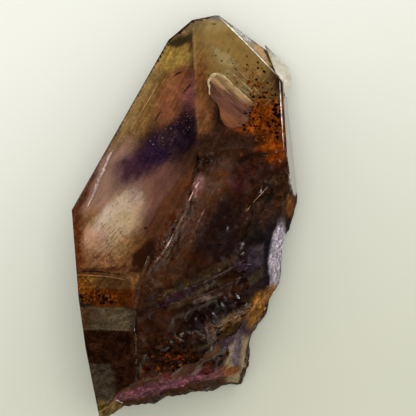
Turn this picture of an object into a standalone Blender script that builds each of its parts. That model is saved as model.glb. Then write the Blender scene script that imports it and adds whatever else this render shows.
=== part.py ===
"""A loose amethyst point, lying on its flat back with its natural faces up.

The frame is the crystal's own: +Y runs from the broken base to the tip, +X to the right and +Z up, with the
origin under the middle of the crystal on the surface that it lies on. Sizes are in millimetres until the
mesh is written.

The crystal is one solid. A block is cut by one plane for each natural face, then stepped by growth ledges,
joined by a small parallel growth on its right shoulder, and broken by four rough surfaces.
"""

import math

import bmesh
import bpy
from mathutils import Matrix, Vector, noise

MM = 0.001

# Driving dimensions of the whole crystal
LENGTH = 60.5
WIDTH = 34.0
THICKNESS = 29.0

# How the prism stands about its long axis: turns of the face normals from straight up, in degrees,
# positive to the right. Quartz prism faces stand 60 degrees apart.
FRONT_LEFT = -32.0
FRONT_RIGHT = FRONT_LEFT + 60.0
RIGHT_SIDE = 84.5
BACK_RIGHT = FRONT_RIGHT + 120.0
BACK_LEFT = FRONT_RIGHT + 180.0
LEFT_SIDE = FRONT_LEFT - 56.0

# Corners that the natural faces share: x, y and height over the resting face
FRONT_RIDGE = Vector((-7.35, -8.3, THICKNESS))
SHOULDER = Vector((2.1, 8.5, 24.0))
TIP = Vector((5.1, LENGTH / 2 - 0.05, 7.2))
TOP_RIDGE = Vector((1.2, 29.3, 9.9))
LEFT_SHOULDER = Vector((-2.85, 25.9, 9.6))
LEFT_EDGE = Vector((-2.85, 25.4, 9.9))
RIGHT_SHOULDER = Vector((15.3, 9.7, 16.6))
LEFT_CORNER = Vector((-WIDTH / 2, 0.4, 7.0))
REST_HALF_WIDTH = 8.0

# Natural faces: turn of the normal about the length, lean of the normal towards the tip, and a point on it
FACES = {
    "large_rhomb": (FRONT_LEFT, 28.9, FRONT_RIDGE),
    "right_rhomb": (FRONT_RIGHT, 31.8, SHOULDER),
    "upper_right_facet": (56.0, 41.9, TIP),
    "left_edge_facet": (FRONT_LEFT - 62.0, 28.2, LEFT_EDGE),
    "back_left_rhomb": (209.1, 23.1, LEFT_SHOULDER),
    "back_tip_left": (224.6, 41.9, TOP_RIDGE),
    "back_tip_right": (165.0, 38.8, TIP),
    "ridge_bevel": (0.2, 16.6, FRONT_RIDGE - Vector((0, 0, 0.6))),
    "prism_front_left": (FRONT_LEFT, 0.0, FRONT_RIDGE),
    "prism_front_right": (FRONT_RIGHT, 0.0, FRONT_RIDGE),
    "prism_right": (RIGHT_SIDE, 6.5, RIGHT_SHOULDER),
    "prism_right_lower": (RIGHT_SIDE, 0.0, Vector((WIDTH / 2 - 0.1, 0, 8.0))),
    "prism_back_right": (BACK_RIGHT, 0.0, Vector((REST_HALF_WIDTH, 0, 0))),
    "prism_back_left": (BACK_LEFT, -3.0, Vector((-REST_HALF_WIDTH, -4.0, 0))),
    "prism_left_upper": (LEFT_SIDE, -4.4, LEFT_CORNER),
    "prism_left_middle": (LEFT_SIDE, -8.0, Vector((-16.05, -12.1, 7.0))),
    "prism_left_lower": (LEFT_SIDE, -11.3, Vector((-15.0, -19.6, 7.0))),
    "resting_face": (180.0, 0.0, Vector((0, 0, 0))),
}

# Growth ledges down the front left prism face. Each strip of the face is sunk from start to end, both
# distances along the length, by the first depth at its start and the second at its end.
LEDGES = (
    (-8.5, -9.3, 0.14, 0.14),
    (-9.2, -13.7, 0.16, 0.24),
    (-13.6, -17.1, 0.48, 0.28),
    (-17.0, -22.0, 0.52, 0.86),
    (-21.9, -34.0, 1.1, 0.7),
)

# The small parallel growth on the right shoulder, cut from a cube by faces of its own
GROWTH_CENTRE = Vector((14.4, 21.2, 4.0))
GROWTH_CUBE = 9.0
GROWTH_FACES = {
    "front": (57.0, 42.0, Vector((13.9, 22.6, 7.0))),
    "upper_right": (98.0, 45.5, Vector((12.6, 25.3, 3.6))),
    "right": (93.0, 11.6, Vector((15.7, 22.4, 4.0))),
    "lower_right": (90.0, -14.0, Vector((16.1, 20.2, 4.0))),
    "left": (-90.0, -20.0, Vector((12.9, 24.0, 4.0))),
    "back": (BACK_RIGHT, 14.0, Vector((14.0, 21.0, 3.3))),
    "lower": (90.0, -80.0, Vector((15.0, 17.6, 4.0))),
}

# Broken surfaces: a point on each, the turn and lean of its outward normal, the direction of its v, and its
# width and height. On each of them u runs to the right of v, and both are measured from the point.
TIPWARDS = Vector((0, 1, 0))
UPWARDS = Vector((0, 0, 1))
BREAKS = {
    "front_break": (Vector((4.2, -9.0, 22.86)), FRONT_RIGHT, 0.0, TIPWARDS, (36.0, 48.0)),
    "side_break": (Vector((13.2, -10.4, 4.5)), 82.0, -17.0, TIPWARDS, (36.0, 36.0)),
    "corner_break": (Vector((9.1, -16.5, 20.0)), 48.0, -36.0, TIPWARDS, (32.0, 32.0)),
    "base_break": (Vector((-1.0, -27.3, 12.0)), 76.0, -78.3, UPWARDS, (44.0, 44.0)),
}
BREAK_CELL = 0.8
CUTTER_HEIGHT = 30.0

# The front break starts along the ridge between the front faces, then runs on down to the base
RIDGE_TOP = Vector((-2.0, 17.5))
RIDGE_FOOT = Vector((-11.6, 0.7))
RIDGE_END = Vector((-17.5, -25.0))
RIB_CENTRE = (-14.0, 28.0)


def face_normal(turn, lean):
    """Unit normal of a face, from its turn about the length and its lean towards the tip, in degrees."""
    turn = math.radians(turn)
    lean = math.radians(lean)
    return Vector((math.sin(turn) * math.cos(lean), math.sin(lean), math.cos(turn) * math.cos(lean)))


def smooth_step(low, high, value):
    """0 below low, 1 above high, and smooth between them."""
    share = min(1.0, max(0.0, (value - low) / (high - low)))
    return share * share * (3 - 2 * share)


def mound(u, v, centre, radius):
    """A round bump of height 1, fading to nothing about two radii from its centre."""
    distance = math.hypot(u - centre[0], v - centre[1]) / radius
    return math.exp(-distance * distance)


def roughness(u, v, scale, seed):
    """Rugged relief between about -1 and 1, with grains of the given size."""
    return noise.fractal(Vector((u / scale, v / scale, seed)), 0.9, 2.1, 4)


def terraces(value, step):
    """Value cut into flat treads with short sloping risers, as splintery quartz breaks."""
    level = math.floor(value / step)
    rise = value / step - level
    return (level + smooth_step(0.35, 0.65, rise)) * step


def new_object(name, bm, collection, matrix=None):
    """An object from a mesh in millimetres, scaled to metres, in the given collection."""
    bmesh.ops.recalc_face_normals(bm, faces=bm.faces)
    if matrix is not None:
        bm.transform(matrix)
    bm.transform(Matrix.Scale(MM, 4))
    mesh = bpy.data.meshes.new(name)
    bm.to_mesh(mesh)
    bm.free()
    thing = bpy.data.objects.new(name, mesh)
    collection.objects.link(thing)
    return thing


def cut_outside(bm, point, normal):
    """Keeps what lies behind the plane, and closes the cut with one face."""
    everything = bm.verts[:] + bm.edges[:] + bm.faces[:]
    cut = bmesh.ops.bisect_plane(
        bm, geom=everything, dist=1e-5, plane_co=point, plane_no=normal, clear_outer=True
    )
    rim = [part for part in cut["geom_cut"] if isinstance(part, bmesh.types.BMEdge)]
    if rim:
        bmesh.ops.contextual_create(bm, geom=rim)


def cut_block(size, centre, faces):
    """A cube cut by every face of a table."""
    bm = bmesh.new()
    bmesh.ops.create_cube(bm, size=size, matrix=Matrix.Translation(centre))
    for turn, lean, point in faces.values():
        cut_outside(bm, point, face_normal(turn, lean))
    return bm


def natural_crystal(collection):
    """The whole crystal inside its natural faces, before it was stepped and broken."""
    bm = cut_block(2.2 * LENGTH, Vector(), FACES)
    cut_outside(bm, Vector((0, -LENGTH / 2, 0)), Vector((0, -1, 0)))
    return new_object("amethyst_point", bm, collection)


def shoulder_growth(collection):
    """A small crystal grown parallel to the main one, half sunk in its right shoulder."""
    bm = cut_block(GROWTH_CUBE, GROWTH_CENTRE, GROWTH_FACES)
    return new_object("shoulder_growth", bm, collection)


def cutter_frame(point, normal, along):
    """Matrix of a cutter whose z leaves the crystal along normal, and whose y follows along."""
    z = normal.normalized()
    x = along.cross(z).normalized()
    y = z.cross(x)
    return Matrix.Translation(point) @ Matrix((x, y, z)).transposed().to_4x4()


def ledge_cutter(start, end, start_depth, end_depth, collection):
    """A block that sinks the front left prism face between two distances along the length."""
    length = start - end
    tilt = math.atan2(start_depth - end_depth, length)
    bm = bmesh.new()
    bmesh.ops.create_cube(bm, size=1)
    bm.transform(Matrix.Diagonal((1.4 * WIDTH, length / math.cos(tilt), THICKNESS, 1)))
    bm.transform(Matrix.Translation((0, -length / 2, THICKNESS / 2)))
    bm.transform(Matrix.Translation((0, 0, -start_depth)) @ Matrix.Rotation(-tilt, 4, "X"))
    origin = Vector((FRONT_RIDGE.x, start, FRONT_RIDGE.z))
    frame = cutter_frame(origin, face_normal(FRONT_LEFT, 0.0), Vector((0, 1, 0)))
    return new_object(f"ledge_{-start:.0f}", bm, collection, frame)


def break_cutter(name, frame, size, relief, collection, left_edge=None):
    """A block over one broken surface. Its underside is a grid that follows relief(u, v).

    left_edge(v), where it is given, is the u at which the grid starts, so that its cells run along an edge
    of the break.
    """
    half_u, half_v = size[0] / 2, size[1] / 2
    bm = bmesh.new()
    bmesh.ops.create_grid(
        bm, x_segments=round(size[0] / BREAK_CELL), y_segments=round(size[1] / BREAK_CELL), size=1
    )
    underside = bm.faces[:]
    for vert in bm.verts:
        v = vert.co.y * half_v
        left = left_edge(v) if left_edge else -half_u
        u = left + (vert.co.x + 1) / 2 * (half_u - left)
        vert.co = (u, v, relief(u, v))
    lifted = bmesh.ops.extrude_face_region(bm, geom=underside)["geom"]
    for vert in (part for part in lifted if isinstance(part, bmesh.types.BMVert)):
        vert.co.z = CUTTER_HEIGHT
    lid = [part for part in lifted if isinstance(part, bmesh.types.BMFace)]
    bmesh.ops.dissolve_faces(bm, faces=lid, use_verts=True)
    return new_object(name, bm, collection, frame)


def ridge_edge(v):
    """Left edge of the front break: down the ridge from the shoulder, then on towards the base."""
    upper, lower = (RIDGE_TOP, RIDGE_FOOT) if v > RIDGE_FOOT.y else (RIDGE_FOOT, RIDGE_END)
    share = (v - lower.y) / (upper.y - lower.y)
    return lower.x + share * (upper.x - lower.x)


def rib(reach, place, width):
    """Height of a rounded rib that lies at one distance from the rib centre."""
    return math.exp(-(((reach - place) / width) ** 2))


def front_relief(u, v):
    """The shell-like break over the lower right front, with long ribs that curve up to the right."""
    reach = math.hypot(u - RIB_CENTRE[0], v - RIB_CENTRE[1]) + 0.5 * roughness(u, v, 6.0, 3.1)
    inside = u - ridge_edge(v)
    scoop = -0.12 - 0.75 * smooth_step(0.0, 5.0, inside) - 1.5 * mound(u, v, (2.0, 3.0), 7.5)
    long_rib = 0.75 * rib(reach, 32.0, 1.0) * smooth_step(0.5, 4.0, inside)
    short_rib = 0.5 * rib(reach, 34.3, 0.6) * smooth_step(-10.0, -5.0, u)
    lower_rib = 0.65 * rib(reach, 38.9, 0.7) * smooth_step(0.5, 8.0, inside)
    fold = 0.35 * rib(reach, 28.6, 1.3) * smooth_step(-3.0, 5.0, u)
    rough_hollow = rib(reach, 36.5, 1.9) * smooth_step(-8.0, -5.0, u)
    hollow = rough_hollow * (-0.5 + 0.55 * roughness(u, v, 1.5, 1.9))
    stained = mound(u, v, (-7.4, -12.5), 4.0) * (-0.3 + 0.45 * roughness(u, v, 1.6, 5.7))
    grain = 0.06 * roughness(u, v, 1.3, 6.4)
    return scoop + long_rib + short_rib + lower_rib + fold + hollow + stained + grain


def side_relief(u, v):
    """The frosted break down the right side: a bulging chunk above a hollow, all of it splintery."""
    bulge = 1.1 * mound(0, v, (0, 0.2), 3.6) - 0.9 * mound(0, v, (0, -9.3), 3.4)
    splinters = terraces(0.6 * roughness(u, v * 0.55, 2.6, 11.3), 0.3)
    return bulge + splinters + 0.1 * roughness(u, v, 0.9, 2.2)


def corner_relief(u, v):
    """The lower right corner, broken in long splinters."""
    return terraces(0.9 * roughness(u * 0.6, v, 2.8, 4.4), 0.36) + 0.13 * roughness(u, v, 1.0, 7.7)


def base_relief(u, v):
    """The break across the base: a horn at its left, a hollow in the middle and a worn front lip."""
    horn = 1.1 * smooth_step(-8.0, -11.0, u)
    hollow = -0.3 - 2.0 * mound(u, v, (1.5, 3.0), 8.0)
    lip = -0.3 * max(0.0, v - 9.0)
    splinters = terraces(0.9 * roughness(u, v, 3.4, 9.1), 0.36)
    return horn + hollow + lip + splinters + 0.13 * roughness(u, v, 1.1, 3.3)


def broken_surfaces(collection):
    """The four cutters that break the crystal."""
    reliefs = {
        "front_break": front_relief,
        "side_break": side_relief,
        "corner_break": corner_relief,
        "base_break": base_relief,
    }
    cutters = []
    for name, (point, turn, lean, along, size) in BREAKS.items():
        frame = cutter_frame(point, face_normal(turn, lean), along)
        left_edge = ridge_edge if name == "front_break" else None
        cutters.append(break_cutter(name, frame, size, reliefs[name], collection, left_edge))
    return cutters


def boolean(thing, other, operation):
    """Cuts or joins thing with other by a live modifier."""
    modifier = thing.modifiers.new(f"{operation.lower()} {other.name}", "BOOLEAN")
    modifier.operation = operation
    modifier.object = other
    other.hide_render = True
    other.display_type = "WIRE"


def amethyst_material():
    """Smoky brown to violet quartz, clear and smooth."""
    material = bpy.data.materials.new("amethyst")
    material.use_nodes = True
    surface = material.node_tree.nodes["Principled BSDF"]
    surface.inputs["Base Color"].default_value = (0.2, 0.1, 0.14, 1)
    surface.inputs["Roughness"].default_value = 0.08
    surface.inputs["Metallic"].default_value = 0.0
    surface.inputs["IOR"].default_value = 1.544
    surface.inputs["Transmission Weight"].default_value = 0.8
    return material


def new_collection(name):
    """A collection in the scene."""
    collection = bpy.data.collections.new(name)
    bpy.context.scene.collection.children.link(collection)
    return collection


def main():
    for thing in list(bpy.data.objects):
        bpy.data.objects.remove(thing)
    parts = new_collection("amethyst point")
    cutters = new_collection("cutters")
    crystal = natural_crystal(parts)
    crystal.data.materials.append(amethyst_material())
    for ledge in LEDGES:
        boolean(crystal, ledge_cutter(*ledge, cutters), "DIFFERENCE")
    boolean(crystal, shoulder_growth(cutters), "UNION")
    for cutter in broken_surfaces(cutters):
        boolean(crystal, cutter, "DIFFERENCE")


main()
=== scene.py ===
"""Looks of a loose amethyst point: clear smoky quartz over clouded, colour-zoned growth."""

import math

import bmesh
import bpy
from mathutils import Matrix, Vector, noise
from mathutils.bvhtree import BVHTree
from mathutils.kdtree import KDTree


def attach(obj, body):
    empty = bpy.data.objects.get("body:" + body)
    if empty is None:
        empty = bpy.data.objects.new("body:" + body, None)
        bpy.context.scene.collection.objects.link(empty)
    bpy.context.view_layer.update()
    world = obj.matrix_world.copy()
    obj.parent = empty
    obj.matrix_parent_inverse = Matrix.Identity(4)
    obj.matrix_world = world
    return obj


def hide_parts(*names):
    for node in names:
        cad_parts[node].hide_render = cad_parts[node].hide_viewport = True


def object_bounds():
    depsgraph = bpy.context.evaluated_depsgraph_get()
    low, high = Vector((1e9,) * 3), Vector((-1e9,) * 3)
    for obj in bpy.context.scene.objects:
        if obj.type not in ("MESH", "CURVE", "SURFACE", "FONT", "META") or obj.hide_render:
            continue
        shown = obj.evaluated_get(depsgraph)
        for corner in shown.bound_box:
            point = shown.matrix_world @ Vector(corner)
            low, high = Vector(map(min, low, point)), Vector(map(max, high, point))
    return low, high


bl_info = {
    "name": "Amethyst point",
    "version": (1, 0, 0),
    "blender": (4, 5, 0),
    "location": "View3D > Sidebar > Amethyst",
    "description": "Builds the look of one loose amethyst point around its packed solid",
    "category": "Add Mesh",
}

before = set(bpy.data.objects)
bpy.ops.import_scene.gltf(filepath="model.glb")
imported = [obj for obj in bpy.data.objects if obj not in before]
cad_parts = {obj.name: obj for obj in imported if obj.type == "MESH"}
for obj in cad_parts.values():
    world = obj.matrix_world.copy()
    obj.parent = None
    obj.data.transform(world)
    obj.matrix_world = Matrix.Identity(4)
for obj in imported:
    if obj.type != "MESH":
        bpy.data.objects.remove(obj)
CAD_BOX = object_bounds()

MM = 0.001
NODE = "amethyst_point"
BODY = "root"

# The photograph's frame over the crystal: its middle in mm from the crystal's origin, and its width
PHOTO_MIDDLE = (3.6, 0.98)
PHOTO_WIDTH = 62.4
CAMERA_HEIGHT = 0.6
# The height that the camera's own height is counted from, and the gap under the crystal, in metres
SEEN_HEIGHT = 0.012
FLOOR_GAP = 0.00005

QUARTZ_IOR = 1.544
# Roughness of the natural faces
POLISH = 0.012
# The most that a surface under them scatters, and how much a growth line's brightness varies
PALEST = 0.97
UNEVENNESS = 0.35
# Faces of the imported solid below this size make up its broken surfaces, in square metres
LARGEST_BREAK_CELL = 1.3e-6
# How deep the growth under the front faces lies, in mm: in the open, at the crystal's edges and under breaks
FRONT_DEPTH = 1.2
EDGE_DEPTH = 0.2
EDGE_REACH = 1.8
BREAK_DEPTH = 0.9
SHEET_STEP = 0.33
# How far straight below the surface it lies instead where refraction would take it out of the crystal
STRAIGHT_DROPS = (0.4, 0.8, 1.4)
# How deep the cloud behind it lies: under the front, under breaks, and under faces that face aside or down
CLOUD_DEPTH = 2.4
SIDE_DEPTH = 0.5
SIDE_BREAK_DEPTH = 0.35
# The stained skin on the breaks, in mm
SKIN_LIFT = 0.02
SKIN_THICKNESS = 0.06
# It covers breaks whose upward part, evened out over this many neighbours, is at most this
FACING_ROUNDS = 10
FACES_ASIDE = 0.55
# A veil's cells across, and how far it ripples, in mm
PATCH_STEPS = 28
PATCH_RIPPLE = 0.12
# Rays to the crystal start this high, in mm, and point down
HIGH_UP = 60
DOWN = Vector((0, 0, -1))
# The growth is deeper under windows of a given middle and radius, in mm
WINDOWS = (((-2.0, 11.0), 7.0, 1.4), ((6.5, 21.0), 6.0, 0.8))
# Lines along the ridges as seen from the front: how x changes with y, and a point; and their least x, in mm
RIDGES = ((-0.047, (1.2, 29.3)), (0.14, (1.2, 2.6)), (0.611, (1.2, 2.6)))
LEFTMOST_RIDGE = -7.05

# Colours as they show through a polished face, as linear light
# CREAM_CORE is the bright core of the cream glow: pale growth with a painted glow of light coming through
CREAM_CORE = (0.82, 0.53, 0.25)
LILAC = (0.29, 0.145, 0.1)
TAN = (0.12, 0.046, 0.034)
TAN_GOLD = (0.19, 0.09, 0.026)
GOLD_HAZE = (0.29, 0.16, 0.042)
PALE_HAZE = (0.48, 0.33, 0.125)
OLIVE_SHADE = (0.042, 0.027, 0.01)
PALE_GOLD = (0.29, 0.16, 0.05)
WARM_BROWN = (0.058, 0.019, 0.008)
BAND_BROWN = (0.05, 0.02, 0.006)
DEEP_BROWN = (0.026, 0.0105, 0.006)
DARK_BROWN = (0.015, 0.005, 0.002)
RUST = (0.24, 0.04, 0.003)
PLUM = (0.012, 0.006, 0.006)
GREY_VIOLET = (0.014, 0.0085, 0.0095)
FROST = (0.4, 0.34, 0.38)
MAUVE = (0.115, 0.046, 0.03)
PHANTOM_BROWN = (0.16, 0.052, 0.022)
PHANTOM_TAN = (0.33, 0.175, 0.075)

# Growth zones on each side of the ridges, painted one over the other; some are painted glow, highlights,
# reflections and shadow, as marked below. Middle, half widths along and across, turn in degrees, share of
# the half width that fades, colour, how much the zone clouds the crystal, and how grainy it is. In mm.
LEFT_ZONES = {
    "grey tip": ((-1.2, 27.7), (3.9, 2.1), 20, 0.6, (0.15, 0.088, 0.036), 0.8, 0.3),
    "golden flank": ((-5.1, 18.4), (3.0, 9.0), -28, 0.7, TAN_GOLD, 1.0, 0.4),
    "golden edge": ((-7.2, 17.5), (1.2, 8.1), -28, 0.9, PALE_GOLD, 1.0, 0.3),
    "olive glow": ((-1.5, 23.5), (2.2, 2.2), -24, 0.9, (0.34, 0.19, 0.036), 1.0, 0.4),
    # A painted dark reflection of a back face, seen inside the tip
    "dark band at the tip": ((-0.6, 26.2), (2.5, 0.8), 12, 0.8, (0.028, 0.021, 0.008), 0.9, 0.2),
    "salmon": ((-1.6, 17.6), (2.2, 4.5), -24, 0.9, (0.175, 0.055, 0.024), 1.0, 0.3),
    "violet roof": ((0.9, 16.3), (1.1, 4.2), -8, 1.0, (0.12, 0.038, 0.032), 1.0, 0.4),
    "tan bridge": ((-4.8, 3.4), (3.6, 5.4), -38, 1.0, TAN, 1.0, 0.2),
    "lilac flank": ((-11.4, 4.9), (2.5, 6.6), -28, 1.0, LILAC, 1.0, 0.1),
    "violet trail": ((-6.8, 7.4), (2.2, 4.5), -46, 1.1, (0.037, 0.0135, 0.022), 1.0, 0.3),
    "violet heart": ((-2.4, 10.7), (2.4, 5.1), -50, 0.8, (0.016, 0.007, 0.019), 1.0, 0.4),
    "darkest heart": ((-0.3, 12.4), (2.1, 3.2), -26, 0.9, (0.01, 0.0055, 0.009), 1.0, 0.6),
    "copper flank": ((-11.7, -3.8), (5.0, 5.2), -24, 0.8, (0.19, 0.075, 0.022), 1.0, 0.5),
    # The cream glow down to the cream core: pale growth with a painted glow of light coming through the
    # crystal
    "cream glow": ((-9.8, -1.0), (2.6, 5.2), -36, 1.2, (0.46, 0.26, 0.145), 1.0, 0.15),
    "pink light on the left": ((-13.2, -3.1), (1.6, 1.5), -30, 1.2, (0.56, 0.245, 0.14), 1.0, 0.2),
    "lilac light": ((-11.2, -0.4), (1.4, 2.4), -35, 1.2, (0.8, 0.54, 0.38), 1.0, 0.08),
    # A painted pink highlight
    "pink highlight spot": ((-6.9, 2.6), (0.9, 1.2), 0, 1.2, (0.5, 0.3, 0.23), 1.0, 0.3),
    "pale streaks": ((-8.7, 1.0), (0.9, 2.0), -16, 1.2, (0.8, 0.54, 0.36), 1.0, 0.08),
    "cream core": ((-9.3, -1.9), (1.15, 2.4), -26, 1.3, CREAM_CORE, 1.0, 0.05),
    "gold under the core": ((-9.4, -4.9), (0.9, 1.7), -45, 1.2, (0.34, 0.16, 0.055), 1.0, 0.6),
    "copper hollow": ((-12.0, -6.4), (2.2, 1.0), -20, 1.2, (0.18, 0.07, 0.03), 1.0, 0.7),
    "bevel band": ((-2.9, -0.7), (1.5, 9.9), -31, 0.4, WARM_BROWN, 1.0, 0.3),
    "shade at the glow's end": ((-5.9, -6.0), (1.2, 3.2), -30, 0.5, DARK_BROWN, 1.0, 0.3),
    "shaded left edge": ((-14.1, 5.5), (0.8, 6.9), -27, 0.8, WARM_BROWN, 1.0, 0.3),
    "stained left edge": ((-16.1, -4.3), (1.2, 5.1), 0, 0.9, (0.09, 0.02, 0.006), 1.0, 0.5),
    "shade over the step": ((-12.0, -8.0), (5.4, 0.4), 0, 1.0, WARM_BROWN, 1.0, 0.5),
    "lower left": ((-11.7, -21.6), (30.0, 11.5), 0, 0.05, DARK_BROWN, 1.0, 0.8),
    # Painted reflection: the grey band and the grey foot are light reflected in the ledges, over dark brown
    # growth
    "sheen on the grey band": ((-12.2, -15.35), (4.8, 3.4), 0, 0.4, (0.06, 0.041, 0.021), 1.0, 0.6),
    "brown left of the band": ((-15.2, -15.0), (1.9, 2.4), 10, 0.9, BAND_BROWN, 1.0, 0.8),
    # Painted reflection of light in the lowest ledge
    "foot": ((-13.7, -25.0), (3.7, 5.2), 6, 0.2, (0.036, 0.025, 0.015), 1.0, 0.6),
    "brown at the foot": ((-15.2, -24.0), (1.4, 4.0), 8, 1.0, BAND_BROWN, 1.0, 0.8),
    "below the step": ((-12.0, -10.0), (30.0, 1.5), 0, 0.1, (0.08, 0.033, 0.01), 1.0, 0.6),
    "tan below the step": ((-14.2, -9.9), (1.6, 0.9), 0, 1.0, (0.2, 0.075, 0.014), 1.0, 0.7),
    "orange band": ((-12.6, -12.25), (30.0, 1.35), 0, 0.3, (0.06, 0.014, 0.002), 1.0, 0.6),
    "orange left end": ((-15.2, -11.2), (1.5, 2.2), 0, 0.9, (0.1, 0.03, 0.003), 1.0, 1.0),
    "black stains": ((-14.6, -13.2), (1.4, 0.4), 0, 0.7, (0.01, 0.007, 0.005), 1.0, 0.5),
    "dark band": ((-11.7, -19.4), (30.0, 2.5), 0, 0.1, DARK_BROWN, 1.0, 0.8),
    "yellow foot": ((-12.4, -28.9), (2.2, 1.5), 0, 0.8, (0.12, 0.068, 0.012), 1.0, 0.9),
}
RIGHT_ZONES = {
    "tip haze": ((4.6, 26.9), (6.8, 6.0), 0, 0.6, GOLD_HAZE, 0.65, 0.1),
    "dim tip": ((1.8, 27.8), (1.8, 3.2), 0, 1.0, (0.16, 0.098, 0.04), 0.9, 0.2),
    "pale window": ((6.0, 26.7), (3.2, 1.7), -38, 1.2, PALE_HAZE, 0.95, 0.05),
    "right rhomb haze": ((6.6, 22.6), (6.6, 5.7), -20, 0.5, GOLD_HAZE, 0.85, 0.1),
    "dim band": ((4.3, 24.5), (2.2, 0.7), -24, 1.2, (0.2, 0.12, 0.038), 0.9, 0.2),
    "pale band": ((7.2, 22.4), (2.6, 0.8), -38, 1.2, PALE_HAZE, 0.8, 0.1),
    "amber behind the phantom": ((10.5, 19.0), (2.7, 4.8), 40, 0.9, (0.21, 0.1, 0.028), 0.95, 0.4),
    "brown beside the ridge": ((2.4, 16.9), (1.8, 7.2), 0, 0.9, (0.16, 0.055, 0.018), 0.95, 0.4),
    "rust on the right": ((11.7, 13.6), (4.2, 3.9), 20, 0.9, RUST, 1.0, 0.9),
    "brown under the rhomb": ((6.6, 10.4), (8.1, 2.1), 0, 0.8, DEEP_BROWN, 1.0, 0.5),
    "warm right corner": ((13.2, 9.4), (2.1, 1.8), 0, 1.0, RUST, 1.0, 0.8),
    "rosy shelf": ((7.2, 6.1), (6.3, 2.1), 0, 0.8, (0.03, 0.011, 0.009), 1.0, 0.7),
    # Painted shadow under the lower edge of the upper right face
    "shadow under the ledge": ((6.6, 8.5), (6.6, 0.7), 3, 0.7, (0.01, 0.0045, 0.0028), 1.0, 0.3),
    "magenta in the shelf": ((7.8, 4.3), (1.3, 0.9), 0, 1.2, (0.05, 0.014, 0.022), 1.0, 0.4),
    "silky fibres": ((3.4, 2.2), (1.9, 7.5), -26, 1.0, (0.08, 0.042, 0.03), 1.0, 0.2),
    # A painted pink highlight
    "pink highlight at the start of the silk": ((2.1, 4.3), (1.1, 1.5), -20, 1.2, (0.16, 0.07, 0.062), 1.0, 0.2),
    "plum heart": ((5.7, -2.3), (3.9, 5.1), -15, 1.0, PLUM, 1.0, 0.4),
    "brown right": ((11.7, 1.0), (3.3, 4.5), 0, 0.9, DEEP_BROWN, 1.0, 0.6),
    "green black": ((10.2, -2.6), (2.1, 1.5), 20, 1.0, (0.011, 0.009, 0.004), 1.0, 0.6),
    "olive streak": ((8.4, -7.1), (4.5, 0.4), 42, 1.0, OLIVE_SHADE, 1.0, 0.4),
    "grey violet": ((9.9, -7.1), (5.1, 1.8), 27, 0.9, GREY_VIOLET, 1.0, 0.6),
    "brown past the ridge": ((-3.0, -8.0), (2.1, 4.5), -35, 0.9, (0.052, 0.024, 0.014), 1.0, 0.6),
    "ribs": ((0.9, -11.3), (9.9, 1.9), 23, 0.8, (0.014, 0.0065, 0.006), 1.0, 0.3),
    "olive between the ribs": ((0.1, -12.5), (7.5, 0.4), 24, 1.2, OLIVE_SHADE, 1.0, 0.3),
    "rough violet": ((4.2, -14.9), (5.4, 2.4), 16, 0.8, PLUM, 1.0, 1.0),
    "lower brown": ((-5.1, -16.6), (5.1, 2.4), 14, 0.9, DEEP_BROWN, 1.0, 0.6),
    "mottled": ((-2.1, -20.6), (5.1, 2.7), 8, 0.8, (0.02, 0.008, 0.004), 1.0, 1.0),
    "violet corner": ((5.7, -18.8), (3.6, 3.0), 0, 0.8, GREY_VIOLET, 1.0, 0.7),
    "olive lower rib": ((6.1, -17.3), (6.0, 0.4), 30, 1.0, OLIVE_SHADE, 1.0, 0.4),
    "pink foot": ((-2.9, -24.9), (9.0, 1.4), 12, 0.8, (0.11, 0.034, 0.045), 1.0, 0.5),
    "beige corner": ((8.4, -21.8), (2.1, 3.9), 0, 0.9, (0.18, 0.115, 0.055), 1.0, 0.6),
    "orange rough edge": ((12.0, -13.6), (1.8, 3.6), -32, 0.9, TAN_GOLD, 1.0, 0.7),
    "frosted strip": ((14.1, -7.1), (1.1, 4.8), -4, 0.7, FROST, 1.0, 0.5),
    "orange spot": ((15.4, 1.1), (1.1, 1.9), 0, 0.9, (0.2, 0.07, 0.006), 1.0, 0.6),
}

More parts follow.
